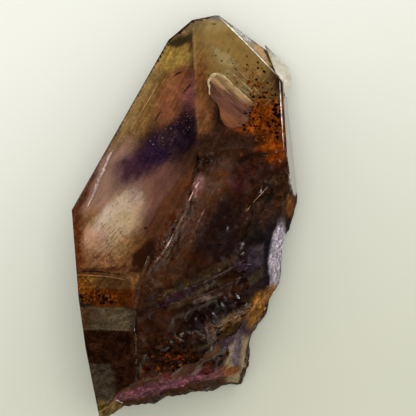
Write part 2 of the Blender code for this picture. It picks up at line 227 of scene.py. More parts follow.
# The stained skin of the breaks and of the frosted shoulder, as it is seen from outside. The last two values
# are how much it covers and how grainy it is.
SKIN_ZONES = {
    "frosted shoulder": ((14.6, 20.2), (3.0, 5.4), 20, 0.4, (0.58, 0.54, 0.44), 0.8, 0.15),
    "frosted side": ((16.5, 10.0), (1.6, 6.0), 0, 0.4, (0.6, 0.55, 0.45), 0.5, 0.3),
    "plum side": ((11.5, -4.2), (5.5, 10.0), 0, 0.3, (0.019, 0.008, 0.006), 1.0, 0.7),
    "black on the side": ((10.6, -3.6), (2.0, 1.3), 20, 1.0, (0.009, 0.005, 0.003), 1.0, 0.7),
    "brown on the side": ((11.6, 1.2), (2.6, 2.6), 0, 1.0, (0.03, 0.012, 0.006), 1.0, 0.7),
    "dark on the side": ((12.4, 2.9), (1.2, 0.9), 40, 0.8, (0.01, 0.005, 0.002), 1.0, 0.6),
    "violet on the side": ((10.9, -6.4), (3.8, 1.5), 32, 1.0, (0.03, 0.019, 0.026), 1.0, 0.6),
    "lilac on the side": ((12.0, -5.2), (1.4, 0.8), 32, 1.0, (0.05, 0.036, 0.04), 1.0, 0.6),
    "olive on the side": ((10.2, -9.6), (3.6, 0.5), 36, 1.0, (0.04, 0.027, 0.013), 1.0, 0.6),
    "dark upper rim": ((14.9, 3.2), (1.4, 4.0), 0, 0.5, (0.035, 0.011, 0.003), 1.0, 0.8),
    "clear beside the side": ((7.4, -3.0), (1.8, 12.0), 0, 0.8, (0.019, 0.008, 0.006), 0.0, 0.7),
    "orange spot": ((15.9, 1.2), (0.7, 1.4), 0, 0.9, (0.2, 0.055, 0.003), 1.0, 0.5),
    "rim of the strip": ((12.5, -6.4), (0.7, 5.0), -4, 0.8, (0.008, 0.005, 0.008), 1.0, 0.5),
    "frosted strip": ((14.2, -6.6), (1.3, 5.2), -4, 0.6, (0.5, 0.42, 0.5), 1.0, 0.9),
    "orange rough edge": ((12.3, -13.9), (2.2, 3.9), -32, 0.5, (0.26, 0.1, 0.01), 0.95, 0.9),
    "violet corner": ((7.8, -18.6), (2.4, 2.4), 0, 0.6, (0.05, 0.024, 0.034), 0.7, 0.7),
    "beige corner": ((9.0, -22.4), (2.6, 4.0), 0, 0.5, (0.29, 0.205, 0.11), 1.0, 0.3),
    "lilac streak in the corner": ((7.9, -20.6), (0.7, 3.4), -6, 1.0, (0.13, 0.09, 0.1), 1.0, 0.6),
    "orange in the corner": ((7.0, -23.3), (1.3, 0.8), 0, 1.0, (0.22, 0.07, 0.01), 1.0, 0.6),
    "brown foot": ((-4.6, -27.0), (10.0, 2.0), 10, 0.4, (0.05, 0.017, 0.005), 0.9, 0.8),
    "pink foot": ((-2.9, -25.4), (8.6, 0.9), 12, 0.9, (0.18, 0.055, 0.07), 0.8, 0.9),
    "yellow horn": ((-12.1, -28.6), (2.4, 2.2), 0, 0.5, (0.2, 0.12, 0.03), 0.8, 1.0),
}

# The phantom, an older growth face inside: its outline as seen from the front, in mm
PHANTOM = (
    (3.8, 20.6), (5.4, 21.1), (7.5, 19.3), (10.2, 16.7), (10.0, 14.6),
    (9.0, 13.1), (6.8, 12.7), (5.5, 14.0), (5.1, 16.0), (3.8, 17.5),
)
PHANTOM_DEPTH = 0.8

# Healed cracks and growth lines inside, and lines of painted light and shade: painted glints and highlights
# along ridges, ribs, edges and the step, a painted reflection inside the left edge, and painted shadow under
# the phantom and above the step. Points as seen from the front, depth under the face, half width and kind.
# In mm.
STRANDS = {
    "phantom rim": (((3.9, 17.8), (3.8, 20.3), (5.5, 20.9), (7.6, 19.1), (10.3, 16.7)), 0.7, 0.36, "pale"),
    "rim's echo": (((6.6, 21.7), (8.4, 20.2), (10.8, 17.9)), 0.7, 0.16, "gold"),
    "second echo": (((8.1, 21.7), (9.9, 19.9), (11.7, 17.6)), 0.7, 0.1, "gold"),
    # Painted shadow along the phantom's lower edge
    "shadow under the phantom": (((3.9, 17.5), (5.1, 16.1), (5.1, 14.3), (5.7, 13.4), (6.9, 12.5)), 0.7, 0.12, "dark"),
    "step in the roof": (((2.1, 8.8), (1.8, 7.0), (1.2, 4.3)), 0.15, 0.3, "dark"),
    # A painted reflection inside the crystal, near its left edge
    "white streak": (((-14.4, 1.0), (-13.0, 4.1), (-11.8, 7.0), (-10.5, 9.8)), 0.4, 0.4, "white"),
    # The ridge lines are painted glints along the ridges, like the ridge glints
    "ridge line": (((1.5, 3.4), (0.0, 0.1), (-1.8, -3.5), (-4.2, -7.1), (-6.9, -11.0)), 0.15, 0.09, "rosy"),
    "ridge glint": (((2.7, 5.5), (1.6, 3.7), (0.3, 1.3)), 0.15, 0.14, "pink"),
    "ridge glint below": (((-0.9, -1.6), (-2.2, -4.2), (-3.2, -5.8)), 0.15, 0.1, "pink"),
    "second ridge line": (((5.7, 6.7), (3.3, 1.3), (0.9, -3.5), (-2.4, -8.3)), 0.15, 0.07, "rosy"),
    "golden streak 1": (((-9.6, 12.2), (-7.7, 15.7), (-5.8, 19.2), (-3.7, 22.8)), 0.6, 0.17, "gold"),
    "golden streak 2": (((-9.0, 13.0), (-6.9, 16.9), (-4.8, 20.8)), 0.7, 0.13, "gold"),
    "golden streak 3": (((-8.1, 12.4), (-5.8, 16.3), (-3.9, 19.6)), 0.8, 0.1, "gold"),
    "smudge 1": (((0.0, 18.2), (0.6, 19.0), (1.3, 19.6)), 0.5, 0.2, "dark"),
    "smudge 2": (((-4.3, 13.9), (-3.9, 14.6), (-3.3, 15.4)), 0.5, 0.18, "dark"),
    "smudge 3": (((-1.8, 20.5), (-0.9, 21.1), (-0.1, 21.5)), 0.5, 0.14, "dark"),
    "black dot": (((-5.75, -2.1), (-5.5, -2.0), (-5.25, -1.9)), 0.4, 0.3, "dark"),
    "glint at the foot": (((-9.9, -27.2), (-9.5, -27.6), (-9.0, -27.8)), 0.1, 0.12, "white"),
    "shard": (((9.2, 0.4), (10.5, 2.0), (12.9, 4.7)), 0.2, 0.1, "gold"),
    # A painted highlight along the crest of a rib
    "yellow rib": (((3.6, -17.3), (7.9, -15.1), (10.8, -13.4), (13.0, -11.6)), 0.15, 0.12, "rosy"),
    "step shade": (((-16.2, -8.5), (-13.3, -8.3), (-10.8, -8.5), (-8.5, -8.8)), 0.15, 0.1, "dark"),
    "step glints": (((-16.1, -8.9), (-13.3, -8.9), (-10.8, -9.1), (-8.5, -9.5)), 0.1, 0.08, "orange glint"),
    # The upper and middle ribs are painted highlights along the ribs' crests
    "upper rib": (
        ((-6.9, -12.7), (-2.1, -11.6), (2.7, -10.1), (8.1, -7.3), (13.2, -3.8)), 0.15, 0.16, "grey"
    ),
    "middle rib": (
        ((-5.1, -13.9), (0.1, -12.5), (4.6, -11.2), (9.2, -8.8), (13.3, -5.9)), 0.15, 0.12, "grey"
    ),
    # Painted highlights along the right edges
    "highlight on the right edge": (((5.25, 29.9), (8.2, 27.0), (11.3, 23.8), (14.2, 20.8)), 0.02, 0.16, "worn"),
    "highlight on the right side": (((14.4, 20.2), (14.6, 15.0), (14.9, 9.4)), 0.02, 0.1, "worn"),
}
# Each kind's colour, and how broken up it is. The white, rosy, pink, grey and worn lines and the orange step
# line are painted highlights, glints and an inner reflection; the phantom's dark lower line and the step
# shade are painted shade
STRAND_KINDS = {
    "pale": ((0.75, 0.52, 0.23), 0.0),
    "gold": ((0.56, 0.36, 0.15), 0.6),
    "dark": ((0.01, 0.005, 0.003), 0.3),
    "white": ((0.66, 0.46, 0.4), 0.6),
    "rosy": ((0.26, 0.11, 0.07), 0.9),
    "pink": ((0.45, 0.2, 0.18), 0.95),
    # Painted orange glints along the step
    "orange glint": ((0.42, 0.15, 0.03), 0.7),
    "grey": ((0.045, 0.027, 0.024), 0.9),
    # The worn kind: painted highlights along the edges
    "worn": ((0.75, 0.7, 0.6), 0.5),
}

# Thin veils inside, and painted glow and highlights drawn as veils: middle as seen from the front, half
# widths, turn, depth, colour, cover, and the turn of their fibres. In mm and degrees.
VEILS = {
    # Part of the painted glow over the pale growth
    "cream veil": ((-9.3, -1.4), (1.3, 3.6), -30, 0.75, CREAM_CORE, 0.5, -45),
    # A painted highlight
    "bright highlight spot": ((-6.7, 2.6), (0.7, 1.2), -40, 0.6, (0.6, 0.4, 0.31), 0.5, -50),
    "golden veil": ((-6.8, 17.6), (1.3, 6.9), -28, 0.6, PALE_GOLD, 0.4, -28),
    "lilac veil": ((-11.4, 4.9), (2.2, 5.4), -28, 0.7, LILAC, 0.4, -28),
    "silky veil": ((3.3, 1.0), (1.8, 6.6), -28, 0.18, TAN, 0.35, -30),
    # A painted pink highlight
    "pink light": ((2.0, 4.3), (0.9, 1.7), -25, 0.16, (0.42, 0.17, 0.18), 0.85, -40),
    "glow over the phantom": ((8.1, 19.9), (1.0, 3.3), 50, 0.6, (0.42, 0.29, 0.12), 0.75, 48),
    "amber window": ((12.1, 24.1), (3.2, 0.8), -44, 0.1, (0.5, 0.18, 0.018), 2.5, -42),
    "pale facet": ((8.2, 28.0), (3.4, 0.8), -44, 0.1, (0.55, 0.54, 0.46), 2.0, -44),
    "frost": ((13.9, -7.1), (1.1, 4.5), -4, 0.15, FROST, 0.8, 0),
    "beige rib": ((7.4, -15.3), (6.6, 0.9), 32, 0.4, (0.12, 0.08, 0.038), 1.8, -58),
    "olive rib": ((1.6, -9.6), (10.5, 0.75), 27, 0.4, (0.055, 0.038, 0.015), 1.3, -63),
    "lilac fork": ((4.2, -18.8), (0.9, 3.8), 12, 0.4, (0.1, 0.072, 0.075), 1.6, 12),
    "purple rib": ((-0.5, -11.8), (4.5, 0.8), 24, 0.4, (0.034, 0.016, 0.034), 1.3, -66),
    # A painted highlight along a rib
    "highlight on the rib": ((3.3, -12.3), (2.8, 0.45), 18, 0.35, (0.12, 0.085, 0.082), 1.8, -70),
    "violet sheen": ((10.8, -6.2), (4.6, 1.7), 30, 0.4, (0.045, 0.026, 0.056), 1.2, -60),
}

# Grains and fibres scattered under the front: middle, half widths, turn, depth, number, smallest and largest
# half width, how many times as long as wide they are, their turn and how far it strays, and their kind. In
# mm and degrees.
GRAINS = {
    "specks on the right": ((12.3, 16.6), (2.4, 6.6), 10, 0.4, 190, 0.04, 0.26, 1.3, 0, 180, "dark"),
    "big specks on the right": ((13.9, 15.4), (0.8, 4.8), 0, 0.4, 45, 0.12, 0.42, 1.4, 0, 180, "dark"),
    "specks by the phantom": ((9.6, 13.9), (1.7, 2.1), 0, 0.5, 60, 0.05, 0.26, 1.5, 0, 180, "dark"),
    "specks in the haze": ((7.5, 22.5), (5.0, 6.2), -20, 0.4, 120, 0.03, 0.2, 1.3, 0, 180, "dark"),
    "specks in the band": ((-12.9, -12.7), (3.4, 1.0), 0, 0.4, 70, 0.06, 0.34, 1.3, 0, 180, "dark"),
    "specks on the left": ((-10.0, -1.0), (6.0, 10.0), -30, 0.5, 70, 0.03, 0.11, 1.3, 0, 180, "dark"),
    "specks in the mottling": ((-2.4, -20.6), (4.5, 2.7), 8, 0.4, 170, 0.06, 0.36, 1.4, 0, 180, "dark"),
    "flakes on the right": ((12.0, 15.4), (2.7, 6.4), 10, 0.55, 300, 0.06, 0.34, 1.6, 0, 180, "orange"),
    "flakes in the band": ((-12.9, -12.1), (3.9, 1.2), 0, 0.5, 150, 0.05, 0.3, 1.6, 0, 180, "orange"),
    "flakes in the mottling": ((-2.4, -20.6), (4.8, 2.4), 8, 0.5, 220, 0.04, 0.3, 1.6, 0, 180, "brown"),
    "rust in the mottling": ((-3.2, -21.6), (4.2, 1.6), 10, 0.5, 90, 0.05, 0.36, 1.8, 0, 180, "orange"),
    "fibres in the glow": ((-9.8, -1.4), (2.4, 4.8), -34, 0.7, 420, 0.02, 0.065, 14, 50, 16, "cream"),
    "dark fibres in the glow": ((-10.0, -5.0), (3.4, 2.6), -30, 0.6, 150, 0.015, 0.05, 13, 48, 14, "brown"),
    "striae under the core": ((-9.3, -4.9), (1.3, 1.7), -40, 0.5, 60, 0.03, 0.08, 8, 50, 10, "gold"),
    "copper fibres": ((-11.6, -4.4), (4.0, 3.6), -10, 0.6, 340, 0.02, 0.07, 12, 48, 14, "copper"),
    "golden fibres": ((-6.6, 17.8), (1.6, 7.2), -28, 0.6, 170, 0.015, 0.045, 20, 62, 5, "gold"),
    "fibres by the phantom": ((8.6, 20.1), (1.4, 3.4), 50, 0.6, 120, 0.015, 0.045, 16, -42, 8, "gold"),
    "silk": ((3.2, 1.0), (2.0, 7.0), -28, 0.2, 300, 0.015, 0.04, 20, 60, 5, "silk"),
    "rib fibres": ((2.4, -10.7), (9.0, 2.1), 24, 0.35, 260, 0.015, 0.04, 18, 24, 7, "ash"),
    "shelf fibres": ((6.3, 6.1), (4.5, 1.3), 0, 0.2, 120, 0.015, 0.05, 8, 60, 20, "blush"),
    "smears in the heart": ((-2.4, 11.2), (2.2, 5.0), -46, 0.6, 260, 0.02, 0.09, 8, 42, 12, "violet"),
    "magenta in the trail": ((-6.3, 8.2), (1.5, 2.3), -46, 0.6, 50, 0.03, 0.1, 2.5, 42, 30, "magenta"),
    # The sparks are painted glints: small bright grains where light would catch
    "sparks in the heart": ((0.2, 13.8), (1.3, 2.2), -30, 0.6, 40, 0.03, 0.13, 1.3, 0, 180, "rosy"),
    "sparks in the violet": ((-3.2, 11.4), (1.5, 2.4), -46, 0.6, 30, 0.03, 0.11, 1.3, 0, 180, "white"),
    "sparks along the line": ((7.2, 8.3), (5.7, 1.1), 3, 0.15, 90, 0.02, 0.08, 1.5, 0, 180, "rosy"),
    "sparks in the rough": ((4.2, -14.8), (4.8, 2.3), 14, 0.3, 70, 0.015, 0.05, 1.0, 0, 180, "white"),
    "sparks by the ridge": ((-1.0, -2.0), (0.9, 6.8), -30, 0.15, 150, 0.02, 0.08, 3, 60, 25, "rosy"),
}
# Each kind's two colours
GRAIN_KINDS = {
    "dark": ((0.004, 0.003, 0.003), (0.02, 0.009, 0.005)),
    "orange": ((0.12, 0.02, 0.002), (0.42, 0.11, 0.012)),
    "brown": ((0.05, 0.018, 0.006), (0.12, 0.045, 0.012)),
    "cream": ((0.5, 0.34, 0.2), (0.92, 0.8, 0.62)),
    "copper": ((0.32, 0.14, 0.06), (0.75, 0.42, 0.24)),
    "gold": ((0.42, 0.27, 0.1), (0.75, 0.58, 0.3)),
    "silk": ((0.2, 0.1, 0.07), (0.5, 0.28, 0.2)),
    "ash": ((0.05, 0.03, 0.028), (0.14, 0.09, 0.085)),
    "blush": ((0.08, 0.028, 0.024), (0.24, 0.09, 0.085)),
    # The rosy and white grains are the sparks' painted glints
    "rosy": ((0.4, 0.15, 0.14), (0.8, 0.5, 0.4)),
    "white": ((0.45, 0.38, 0.42), (1.0, 0.95, 0.9)),
    "violet": ((0.008, 0.004, 0.01), (0.08, 0.03, 0.09)),
    "magenta": ((0.09, 0.02, 0.055), (0.26, 0.08, 0.18)),
}


class StageSizes(bpy.types.PropertyGroup):
    floor_width: bpy.props.FloatProperty(
        name="Floor width", description="Side of the square floor", default=3.0, unit="LENGTH"
    )
    world_strength: bpy.props.FloatProperty(
        name="Surroundings", description="Light that comes from all around", default=0.9
    )


class CrystalSizes(bpy.types.PropertyGroup):
    edge: bpy.props.FloatProperty(
        name="Edge width", description="Width of the worn natural edges", default=0.00016, unit="LENGTH"
    )
    grain: bpy.props.FloatProperty(
        name="Break grain", description="Height of the fine relief on broken faces", default=0.00012,
        unit="LENGTH",
    )
    refraction: bpy.props.FloatProperty(
        name="Index of refraction", description="That of quartz", default=QUARTZ_IOR
    )
    smoke: bpy.props.FloatVectorProperty(
        name="Smoke", description="Colour that clear crystal takes up", default=(0.72, 0.5, 0.34),
        subtype="COLOR",
    )
    smoke_density: bpy.props.FloatProperty(
        name="Smoke density", description="Strength of that colour, for each metre", default=32.0
    )


class CloudSizes(bpy.types.PropertyGroup):
    voxel: bpy.props.FloatProperty(
        name="Fineness", description="Size of the cells of its surface", default=0.0006, unit="LENGTH"
    )


def feed(tree, socket, value):
    """Sets a socket to a value, or links it to the socket that gives the value."""
    if isinstance(value, bpy.types.NodeSocket):
        tree.links.new(value, socket)
    else:
        socket.default_value = value


def node(tree, kind, inputs=None, **settings):
    """A new node. inputs maps a socket's name or number to a value or to the socket that feeds it."""
    made = tree.nodes.new(kind)
    for name, value in settings.items():
        setattr(made, name, value)
    for key, value in (inputs or {}).items():
        feed(tree, made.inputs[key], value)
    return made


def maths(tree, operation, *values):
    """The result of one Math node."""
    return node(tree, "ShaderNodeMath", dict(enumerate(values)), operation=operation).outputs[0]


def vector_maths(tree, operation, *values, output="Vector"):
    """The result of one Vector Math node, where a scale comes last."""
    keys = (0, "Scale") if operation == "SCALE" else (0, 1)
    return node(tree, "ShaderNodeVectorMath", dict(zip(keys, values)), operation=operation).outputs[output]


def mixed(tree, share, one, other):
    """Two values mixed: the first where share is 0 and the second where it is 1."""
    return node(tree, "ShaderNodeMix", {0: share, 2: one, 3: other}).outputs[0]


def blended(tree, share, one, other):
    """Two colours mixed in the same way."""
    return node(tree, "ShaderNodeMix", {0: share, 6: one, 7: other}, data_type="RGBA").outputs[2]


def between(tree, value, low, high, out_low=0.0, out_high=1.0):
    """Value spread smoothly from low..high to the given ends."""
    inputs = {0: value, 1: low, 2: high, 3: out_low, 4: out_high}
    return node(tree, "ShaderNodeMapRange", inputs, interpolation_type="SMOOTHSTEP").outputs[0]


def parts_of(tree, place):
    """The x, y and z of a place."""
    return tuple(node(tree, "ShaderNodeSeparateXYZ", {0: place}).outputs)


def noise_at(tree, place, scale, detail=3.0, roughness=0.55, stretch=None, turn=0.0, distortion=0.0,
             output="Fac"):
    """A noise value around 0.5. scale is in grains for each mm; stretch draws it out before a turn."""
    if stretch:
        mapping = {"Vector": place, "Rotation": (0, 0, math.radians(turn)), "Scale": stretch}
        place = node(tree, "ShaderNodeMapping", mapping, vector_type="TEXTURE").outputs[0]
    inputs = {"Vector": place, "Scale": scale, "Detail": detail, "Roughness": roughness}
    inputs["Distortion"] = distortion
    return node(tree, "ShaderNodeTexNoise", inputs).outputs[output]


def attribute(tree, name, output="Fac"):
    """A value that the mesh keeps."""
    return node(tree, "ShaderNodeAttribute", attribute_name=name).outputs[output]


def rgba(colour):
    """A colour with full alpha."""
    return (*colour, 1.0)


def varied(colour, dimmer, brighter):
    """A colour made dimmer and made brighter."""
    return [rgba(value * times for value in colour) for times in (dimmer, brighter)]


def under_glass(colour):
    """Colour of a surface that looks like the given one through a polished quartz face.

    Quartz keeps back 60 percent of the light that a surface inside it scatters, and the surface scatters
    that light again, so pale colours lose less than dark ones do.
    """
    kept_back = 0.6
    passed = 0.345
    return tuple(min(PALEST, value / (passed + kept_back * value)) for value in colour)


def new_group(name, inputs, outputs, kind="ShaderNodeTree"):
    """An empty node group, what its input node gives and what its output node takes."""
    tree = bpy.data.node_groups.new(name, kind)
    for title, sort, value in inputs:
        made = tree.interface.new_socket(title, in_out="INPUT", socket_type=f"NodeSocket{sort}")
        if value is not None:
            made.default_value = value
    for title, sort in outputs:
        tree.interface.new_socket(title, in_out="OUTPUT", socket_type=f"NodeSocket{sort}")
    return tree, tree.nodes.new("NodeGroupInput").outputs, tree.nodes.new("NodeGroupOutput").inputs


def millimetres(tree):
    """Object coordinates in mm."""
    return vector_maths(tree, "SCALE", node(tree, "ShaderNodeTexCoord").outputs["Object"], 1 / MM)


def seen_place(tree):
    """Where a point is seen from the front, in mm, as its mesh keeps it."""
    return attribute(tree, "seen", "Vector")


def pushed(tree, place, amount):
    """A place moved about by broad and fine noise, so that outlines drawn there wander."""
    broad = noise_at(tree, place, 0.22, 2.0, output="Color")
    fine = noise_at(tree, place, 1.1, 3.0, stretch=(1.0, 4.0, 1.0), turn=-31.0, output="Color")
    for colour, share in ((broad, 2.6), (fine, 1.2)):
        centred = vector_maths(tree, "SUBTRACT", colour, (0.5, 0.5, 0.5))
        push = vector_maths(tree, "SCALE", centred, maths(tree, "MULTIPLY", amount, share))
        place = vector_maths(tree, "ADD", place, push)
    return place


def painted(tree, place, zones, base, seen):
    """The colour, cover and grain of zones painted over a base colour.

    seen turns a colour as it should look into the colour of the surface.
    """
    colour, cover, grain = rgba(seen(base)), 1.0, 0.4
    for name, (middle, half, turn, fade, paint, density, grains) in zones.items():
        mapping = {"Vector": place, "Location": (*middle, 0), "Rotation": (0, 0, math.radians(turn))}
        mapping["Scale"] = (*half, 1000)
        local = node(tree, "ShaderNodeMapping", mapping, vector_type="TEXTURE", label=name).outputs[0]
        reach = vector_maths(tree, "LENGTH", local, output="Value")
        share = between(tree, reach, 1 + fade / 2, 1 - fade / 2)
        colour = blended(tree, share, colour, rgba(seen(paint)))
        cover = mixed(tree, share, cover, density)
        grain = mixed(tree, share, grain, grains)
    return colour, cover, grain


def zone_group(name):
    """An empty group that gives a colour, how much that covers and how grainy it is."""
    return new_group(
        name, (("Place", "Vector", None),), (("Color", "Color"), ("Cover", "Float"), ("Grain", "Float"))
    )


def growth_group():
    """The growth inside, with painted glow, highlights, reflections and shadow among its zones. It changes
    crisply at the ridges, and softly below them.
    """
    tree, given, out = zone_group("Growth and Painted Light Zones")
    place = given["Place"]
    across, along, height = parts_of(tree, place)
    ridge = 100.0
    for slope, (x, y) in RIDGES:
        ridge = maths(tree, "MINIMUM", maths(tree, "MULTIPLY_ADD", along, slope, x - slope * y), ridge)
    past = maths(tree, "SUBTRACT", across, maths(tree, "MAXIMUM", ridge, LEFTMOST_RIDGE))
    crisp, soft = between(tree, past, -0.06, 0.06), between(tree, past, -1.2, 1.8)
    side = mixed(tree, between(tree, along, -9.0, -11.0), crisp, soft)
    calm = between(tree, along, -9.0, -7.0, 0.15, 1.0)
    left = painted(tree, pushed(tree, place, calm), LEFT_ZONES, DEEP_BROWN, under_glass)
    right = painted(tree, pushed(tree, place, 1.0), RIGHT_ZONES, DEEP_BROWN, under_glass)
    for socket, mix, one, other in zip(out, (blended, mixed, mixed), left, right):
        feed(tree, socket, mix(tree, side, one, other))
    return tree


def skin_group():
    """Skin Zones: the stained skin as it is seen from outside, plainer and thinner low down the crystal."""
    tree, given, out = zone_group("Skin Zones")
    place = given["Place"]
    colour, cover, grain = painted(tree, pushed(tree, place, 0.6), SKIN_ZONES, (0.07, 0.028, 0.012), tuple)
    across, along, height = parts_of(tree, place)
    deep = maths(tree, "MULTIPLY", between(tree, height, 9, 1), between(tree, along, 16, 14))
    patches = noise_at(tree, place, 0.3, 4.0, 0.65)
    low = between(tree, maths(tree, "MULTIPLY_ADD", deep, 0.5, patches), 0.72, 0.84)
    feed(tree, out["Color"], blended(tree, low, colour, (0.06, 0.027, 0.015, 1)))
    feed(tree, out["Cover"], mixed(tree, low, cover, 0.55))
    feed(tree, out["Grain"], grain)
    return tree


def fibre_group():
    """Fibres: how bright the growth is at a place in mm, around 1, from parallel fibres and mottling."""
    inputs = (("Place", "Vector", None), ("Grain", "Float", 0.3))
    tree, given, out = new_group("Fibres", inputs, (("Light", "Float"),))
    place, grain = given["Place"], given["Grain"]
    steep = noise_at(tree, place, 2.2, 4.0, 0.6, stretch=(1.0, 14.0, 1.0), turn=-29.0)
    slant = noise_at(tree, place, 2.0, 4.0, 0.6, stretch=(1.0, 12.0, 1.0), turn=-42.0)
    flat = noise_at(tree, place, 1.5, 4.0, 0.6, stretch=(14.0, 1.0, 1.0), turn=24.0)
    across, along, height = parts_of(tree, place)
    low = between(tree, maths(tree, "MULTIPLY_ADD", across, -0.4, along), -6, -11)
    middle = maths(tree, "MULTIPLY", between(tree, along, 6, 2), between(tree, across, -3, -7))
    threads = mixed(tree, low, mixed(tree, middle, steep, slant), flat)
    silk = between(tree, threads, 0.3, 0.7, 0.74, 1.3)
    clouds = between(tree, noise_at(tree, place, 0.35, 4.0, 0.6), 0.3, 0.7, 0.75, 1.25)
    soft = maths(tree, "SUBTRACT", maths(tree, "MULTIPLY", silk, clouds), 1.0)
    soft = maths(tree, "MULTIPLY_ADD", soft, between(tree, grain, 0.05, 0.4, 0.25, 1.0), 1.0)
    pepper = between(tree, noise_at(tree, place, 2.6, 4.0, 0.7), 0.35, 0.62, 0.35, 1.35)
    stain = between(tree, noise_at(tree, place, 0.9, 5.0, 0.7), 0.4, 0.62, 0.35, 1.4)
    grained = mixed(tree, grain, 1.0, maths(tree, "MULTIPLY", pepper, stain))
    feed(tree, out["Light"], maths(tree, "MULTIPLY", soft, grained))
    return tree


def new_material(name):
    """An empty material and its node tree."""
    material = bpy.data.materials.new(name)
    material.use_nodes = True
    return material, material.node_tree


def surfaced(material, roughness, specular, sockets):
    """The material once its surface has its finish and the given sockets are fed."""
    tree = material.node_tree
    surface = tree.nodes["Principled BSDF"]
    for name, value in {"Roughness": roughness, "Specular IOR Level": specular, **sockets}.items():
        feed(tree, surface.inputs[name], value)
    return material


def matt(material, colour, alpha=1.0):
    """The material once it only scatters light, as things inside the crystal do."""
    return surfaced(material, 1.0, 0.0, {"Base Color": colour, "Alpha": alpha})


def quartz_material(sizes):
    """Clear smoky quartz: polished natural faces and frosted, stained breaks."""
    material, tree = new_material("smoky quartz")
    place = millimetres(tree)
    broken = attribute(tree, "broken")
    stain = between(tree, noise_at(tree, place, 0.6, 4.0, 0.65), 0.4, 0.62)
    stained = blended(tree, stain, (0.95, 0.9, 0.86, 1), (0.85, 0.5, 0.22, 1))
    frosted = between(tree, noise_at(tree, place, 0.9, 3.0), 0.35, 0.7, 0.06, 0.35)
    surface = tree.nodes["Principled BSDF"]
    feed(tree, surface.inputs["Base Color"], blended(tree, broken, (1, 1, 1, 1), stained))
    rough = maths(tree, "ADD", maths(tree, "MULTIPLY", broken, frosted), POLISH)
    feed(tree, surface.inputs["Roughness"], rough)
    surface.inputs["IOR"].default_value = sizes.refraction
    surface.inputs["Transmission Weight"].default_value = 1.0
    surface.inputs["Metallic"].default_value = 0.0
    absorbed = {"Color": rgba(sizes.smoke), "Density": sizes.smoke_density}
    smoke = node(tree, "ShaderNodeVolumeAbsorption", absorbed)
    feed(tree, tree.nodes["Material Output"].inputs["Volume"], smoke.outputs[0])
    return material


def line_material(name, colour, broken_up):
    """A line inside the crystal, uneven along its length: pale or dark growth, or a painted highlight, glint
    or shadow.
    """
    material, tree = new_material(name)
    place = millimetres(tree)
    share = between(tree, noise_at(tree, place, 1.3, 4.0, 0.65), 0.35, 0.65)
    paint = blended(tree, share, *varied(under_glass(colour), 1 - UNEVENNESS, 1 + UNEVENNESS))
    gaps = noise_at(tree, place, 0.9, 4.0, 0.7)
    return matt(material, paint, between(tree, gaps, 0.38, 0.54, 1 - broken_up, 1.0))


def phantom_material():
    """The phantom's face: tan along its upper edge, mauve inside and brown at its foot."""
    material, tree = new_material("phantom")
    place = seen_place(tree)
    fibres = noise_at(tree, place, 1.6, 4.0, 0.6, stretch=(1.0, 6.0, 1.0), turn=48.0)
    across, along, height = parts_of(tree, place)
    upwards = maths(tree, "MULTIPLY_ADD", fibres, 1.6, maths(tree, "MULTIPLY_ADD", across, 0.6, along))
    mauve, brown, tan = (rgba(under_glass(colour)) for colour in (MAUVE, PHANTOM_BROWN, PHANTOM_TAN))
    body = blended(tree, between(tree, upwards, 21.0, 19.0), mauve, brown)
    body = blended(tree, between(tree, upwards, 22.6, 23.8), body, tan)
    lit = vector_maths(tree, "SCALE", body, between(tree, fibres, 0.3, 0.7, 0.6, 1.45))
    return matt(material, lit, between(tree, attribute(tree, "inside"), 0.0, 0.12, 0.4, 0.92))


def veil_material(name, colour, cover, turn):
    """A thin veil, or a painted glow or highlight drawn as one: parallel fibres that leave gaps, and a rim
    that fades out.
    """
    material, tree = new_material(name)
    place = millimetres(tree)
    fibres = noise_at(tree, place, 2.4, 5.0, 0.65, stretch=(1.0, 10.0, 1.0), turn=turn)
    wisps = noise_at(tree, place, 0.7, 4.0, 0.6, stretch=(1.0, 2.5, 1.0), turn=turn)
    paint = blended(tree, between(tree, fibres, 0.38, 0.62), *varied(under_glass(colour), 0.8, 1.0))
    alpha = between(tree, fibres, 0.4, 0.66, 0.25, 1.0)
    for value in (between(tree, wisps, 0.35, 0.6), attribute(tree, "inside"), cover):
        alpha = maths(tree, "MULTIPLY", alpha, value)
    return matt(material, paint, alpha)


def grain_material(name, dim, bright):
    """Small grains, each a little different."""
    material, tree = new_material(name)
    share = between(tree, noise_at(tree, millimetres(tree), 2.0, 2.0), 0.4, 0.6)
    return matt(material, blended(tree, share, rgba(dim), rgba(bright)))


def smoky(tree, place, colour):
    """A colour that gives way to smoky brown and violet clouds low down in the crystal."""
    clouds = noise_at(tree, place, 0.16, 4.0, 0.6, distortion=0.6)
    brown, violet = (rgba(under_glass(shade)) for shade in ((0.12, 0.06, 0.034), (0.035, 0.016, 0.022)))
    smoke = blended(tree, between(tree, clouds, 0.4, 0.62), brown, violet)
    low = maths(tree, "MULTIPLY_ADD", clouds, 8.0, parts_of(tree, place)[2])
    return blended(tree, between(tree, low, 25, 15, 0.0, 0.9), colour, smoke)


def zoned_material(name, place_of, zones, low_smoke=False):
    """A material, the colour that the zones have there with fibres and mottling, and how much it covers."""
    material, tree = new_material(name)
    place = place_of(tree)
    zoned = node(tree, "ShaderNodeGroup", {"Place": place}, node_tree=zones).outputs
    inputs = {"Place": place, "Grain": zoned["Grain"]}
    grown = node(tree, "ShaderNodeGroup", inputs, node_tree=bpy.data.node_groups["Fibres"]).outputs
    colour = smoky(tree, place, zoned["Color"]) if low_smoke else zoned["Color"]
    return material, vector_maths(tree, "SCALE", colour, grown["Light"]), zoned["Cover"]


def cloud_material(name, place_of, low_smoke=False):
    """The clouded growth inside."""
    return matt(*zoned_material(name, place_of, bpy.data.node_groups["Growth and Painted Light Zones"], low_smoke))


